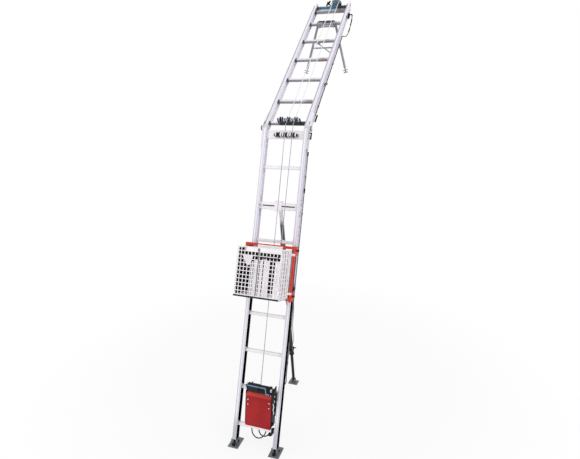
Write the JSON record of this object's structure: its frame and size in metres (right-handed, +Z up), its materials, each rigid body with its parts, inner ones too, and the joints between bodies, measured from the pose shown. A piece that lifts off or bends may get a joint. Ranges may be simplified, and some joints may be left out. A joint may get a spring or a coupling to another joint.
{
  "type": "material hoist",
  "caption": "Inclined ladder hoist for a building site: a rope winch pulls a mesh basket carriage up bent aluminium rails that stand on a telescopic prop.",
  "frame": {"origin": "on the floor under the middle of the overall box", "axes": "+X to the right seen from the winch side, +Y towards the building, +Z up"},
  "size_m": [0.5112, 2.5846, 4.138],
  "materials": {
    "aluminium": "extruded, satin",
    "galvanised": "zinc coated",
    "rope_steel": "stranded wire",
    "red_paint": "semi-gloss paint",
    "blue_paint": "semi-gloss paint",
    "grey_paint": "matt paint",
    "black_paint": "matt paint",
    "black_plastic": "moulded",
    "chrome": "polished",
    "lead_rubber": "smooth sheath",
    "stay_grey": "sheathed wire rope"
  },
  "bodies": {
    "lower_ladder": {"base_rails": "aluminium", "knee_rails": "aluminium", "lower_rungs": "aluminium", "joint_splices": "galvanised", "knee_plates": "galvanised", "knee_pins": "black_paint", "lower_pulley_bracket": "galvanised", "prop_clamp": "grey_paint", "winch_chassis": "black_paint", "winch_cover": "red_paint", "winch_screws": "chrome", "drum_guard": "blue_paint", "gear_motor": "grey_paint", "control_box": "black_plastic", "rope_up": "rope_steel", "rope_fall": "rope_steel", "rope_knee": "rope_steel", "limit_cable": "lead_rubber", "power_lead": "lead_rubber", "lead_plug": "lead_rubber", "stay_rope": "stay_grey"},
    "left_foot": {"foot_left": "grey_paint"},
    "right_foot": {"foot_right": "grey_paint"},
    "prop": {"prop_tube": "grey_paint"},
    "prop_handle": {"prop_screw": "black_paint"},
    "prop_extension": {"prop_leg": "black_paint"},
    "prop_base": {"prop_foot": "grey_paint"},
    "drum": {"rope_drum": "black_paint"},
    "carriage": {"carriage_frame": "red_paint", "counter_wheels": "black_plastic", "basket_floor": "galvanised", "basket_back": "galvanised", "basket_left": "galvanised", "basket_right": "galvanised"},
    "left_gate": {"gate_left": "galvanised"},
    "right_gate": {"gate_right": "galvanised"},
    "upper_ladder": {"upper_rails": "aluminium", "upper_rungs": "aluminium", "upper_pulley_bracket": "galvanised", "rope_upper": "rope_steel", "head_frame": "blue_paint", "limit_switch": "black_plastic", "roof_bracket": "grey_paint", "limit_lead": "lead_rubber"},
    "sheave": {"head_sheave": "black_plastic"},
    "left_clamp": {"clamp_left": "black_plastic"},
    "right_clamp": {"clamp_right": "black_plastic"},
    "roof_legs": {"roof_support": "galvanised"},
    "left_roof_foot": {"roof_foot_left": "black_paint"},
    "right_roof_foot": {"roof_foot_right": "black_paint"},
    "lower_roller_1": {"lower_pulley_1": "black_plastic"},
    "lower_roller_2": {"lower_pulley_2": "black_plastic"},
    "lower_roller_3": {"lower_pulley_3": "black_plastic"},
    "upper_roller_1": {"upper_pulley_1": "black_plastic"},
    "upper_roller_2": {"upper_pulley_2": "black_plastic"},
    "upper_roller_3": {"upper_pulley_3": "black_plastic"},
    "wheel_top_left_body": {"wheel_top_left": "black_plastic"},
    "wheel_top_right_body": {"wheel_top_right": "black_plastic"},
    "wheel_low_left_body": {"wheel_low_left": "black_plastic"},
    "wheel_low_right_body": {"wheel_low_right": "black_plastic"}
  },
  "joints": [
    {"name": "carriage_slide", "type": "slide", "parent": "lower_ladder", "child": "carriage", "axis": [0, 0.3007, 0.9537], "range_m": [-0.7, 0.86], "deforming": ["rope_fall"]},
    {"name": "knee_fold", "type": "hinge", "parent": "lower_ladder", "child": "upper_ladder", "pos_m": [0, -0.37369, 2.75907], "axis": [1, 0, 0], "range_deg": [-10, 34], "deforming": ["rope_knee"]},
    {"name": "prop_swing", "type": "hinge", "parent": "lower_ladder", "child": "prop", "pos_m": [0, -0.53343, 2.06288], "axis": [1, 0, 0], "range_deg": [-22, 25], "deforming": ["stay_rope"]},
    {"name": "prop_extend", "type": "slide", "parent": "prop", "child": "prop_extension", "axis": [0, 0.1857, -0.9826], "range_m": [-0.28, 0.35]},
    {"name": "prop_handle_turn", "type": "hinge", "parent": "prop", "child": "prop_handle", "pos_m": [0, -0.22299, 0.41995], "axis": [0, 0.9826, 0.1857], "range_deg": [-90, 90]},
    {"name": "prop_foot_swivel", "type": "hinge", "parent": "prop_extension", "child": "prop_base", "pos_m": [0, -0.15196, 0.044], "axis": [1, 0, 0], "range_deg": [-25, 25]},
    {"name": "left_foot_swivel", "type": "hinge", "parent": "lower_ladder", "child": "left_foot", "pos_m": [-0.194, -1.23227, 0.036], "axis": [1, 0, 0], "range_deg": [-25, 25]},
    {"name": "right_foot_swivel", "type": "hinge", "parent": "lower_ladder", "child": "right_foot", "pos_m": [0.194, -1.23227, 0.036], "axis": [1, 0, 0], "range_deg": [-25, 25]},
    {"name": "drum_spin", "type": "hinge", "parent": "lower_ladder", "child": "drum", "pos_m": [0, -1.15449, 0.56375], "axis": [1, 0, 0], "continuous": true},
    {"name": "lower_pulley_1_spin", "type": "hinge", "parent": "lower_ladder", "child": "lower_roller_1", "pos_m": [-0.055, -0.44207, 2.70514], "axis": [1, 0, 0], "continuous": true},
    {"name": "upper_pulley_1_spin", "type": "hinge", "parent": "upper_ladder", "child": "upper_roller_1", "pos_m": [-0.055, -0.3541, 2.83726], "axis": [1, 0, 0], "continuous": true},
    {"name": "lower_pulley_2_spin", "type": "hinge", "parent": "lower_ladder", "child": "lower_roller_2", "pos_m": [0.015, -0.44207, 2.70514], "axis": [1, 0, 0], "continuous": true},
    {"name": "upper_pulley_2_spin", "type": "hinge", "parent": "upper_ladder", "child": "upper_roller_2", "pos_m": [0.015, -0.3541, 2.83726], "axis": [1, 0, 0], "continuous": true},
    {"name": "lower_pulley_3_spin", "type": "hinge", "parent": "lower_ladder", "child": "lower_roller_3", "pos_m": [0.085, -0.44207, 2.70514], "axis": [1, 0, 0], "continuous": true},
    {"name": "upper_pulley_3_spin", "type": "hinge", "parent": "upper_ladder", "child": "upper_roller_3", "pos_m": [0.085, -0.3541, 2.83726], "axis": [1, 0, 0], "continuous": true},
    {"name": "wheel_top_left_spin", "type": "hinge", "parent": "carriage", "child": "wheel_top_left_body", "pos_m": [-0.203, -0.75861, 1.73544], "axis": [1, 0, 0], "continuous": true},
    {"name": "wheel_top_right_spin", "type": "hinge", "parent": "carriage", "child": "wheel_top_right_body", "pos_m": [0.203, -0.75861, 1.73544], "axis": [1, 0, 0], "continuous": true},
    {"name": "wheel_low_left_spin", "type": "hinge", "parent": "carriage", "child": "wheel_low_left_body", "pos_m": [-0.203, -0.8801, 1.35014], "axis": [1, 0, 0], "continuous": true},
    {"name": "wheel_low_right_spin", "type": "hinge", "parent": "carriage", "child": "wheel_low_right_body", "pos_m": [0.203, -0.8801, 1.35014], "axis": [1, 0, 0], "continuous": true},
    {"name": "left_gate_hinge", "type": "hinge", "parent": "carriage", "child": "left_gate", "pos_m": [-0.196, -1.16722, 1.42285], "axis": [0, -0.3007, -0.9537], "range_deg": [0, 110]},
    {"name": "right_gate_hinge", "type": "hinge", "parent": "carriage", "child": "right_gate", "pos_m": [0.196, -1.16722, 1.42285], "axis": [0, 0.3007, 0.9537], "range_deg": [0, 110]},
    {"name": "head_sheave_spin", "type": "hinge", "parent": "upper_ladder", "child": "sheave", "pos_m": [0.05, 1.18251, 4.08612], "axis": [0, -0.6225, 0.7826], "continuous": true},
    {"name": "left_clamp_lever", "type": "hinge", "parent": "upper_ladder", "child": "left_clamp", "pos_m": [-0.154, 1.17659, 4.02288], "axis": [1, 0, 0], "range_deg": [-80, 0]},
    {"name": "right_clamp_lever", "type": "hinge", "parent": "upper_ladder", "child": "right_clamp", "pos_m": [0.154, 1.17659, 4.02288], "axis": [1, 0, 0], "range_deg": [-80, 0]},
    {"name": "roof_support_swing", "type": "hinge", "parent": "upper_ladder", "child": "roof_legs", "pos_m": [0, 0.98198, 3.79525], "axis": [1, 0, 0], "range_deg": [-45, 90]},
    {"name": "left_roof_screw", "type": "slide", "parent": "roof_legs", "child": "left_roof_foot", "axis": [-0.2529, 0, -0.9675], "range_m": [-0.015, 0.05]},
    {"name": "right_roof_screw", "type": "slide", "parent": "roof_legs", "child": "right_roof_foot", "axis": [0.2529, 0, -0.9675], "range_m": [-0.015, 0.05]}
  ],
  "couplings": [
    {"joint": "wheel_top_left_spin", "follows": "carriage_slide", "rad_per_m": -41.667},
    {"joint": "wheel_top_right_spin", "follows": "carriage_slide", "rad_per_m": -41.667},
    {"joint": "wheel_low_left_spin", "follows": "carriage_slide", "rad_per_m": -41.667},
    {"joint": "wheel_low_right_spin", "follows": "carriage_slide", "rad_per_m": -41.667},
    {"joint": "drum_spin", "follows": "carriage_slide", "rad_per_m": -25.317},
    {"joint": "lower_pulley_2_spin", "follows": "carriage_slide", "rad_per_m": 48.781},
    {"joint": "lower_pulley_3_spin", "follows": "carriage_slide", "rad_per_m": -48.781},
    {"joint": "upper_pulley_2_spin", "follows": "carriage_slide", "rad_per_m": 48.781},
    {"joint": "upper_pulley_3_spin", "follows": "carriage_slide", "rad_per_m": -48.781},
    {"joint": "head_sheave_spin", "follows": "carriage_slide", "rad_per_m": 28.571}
  ]
}
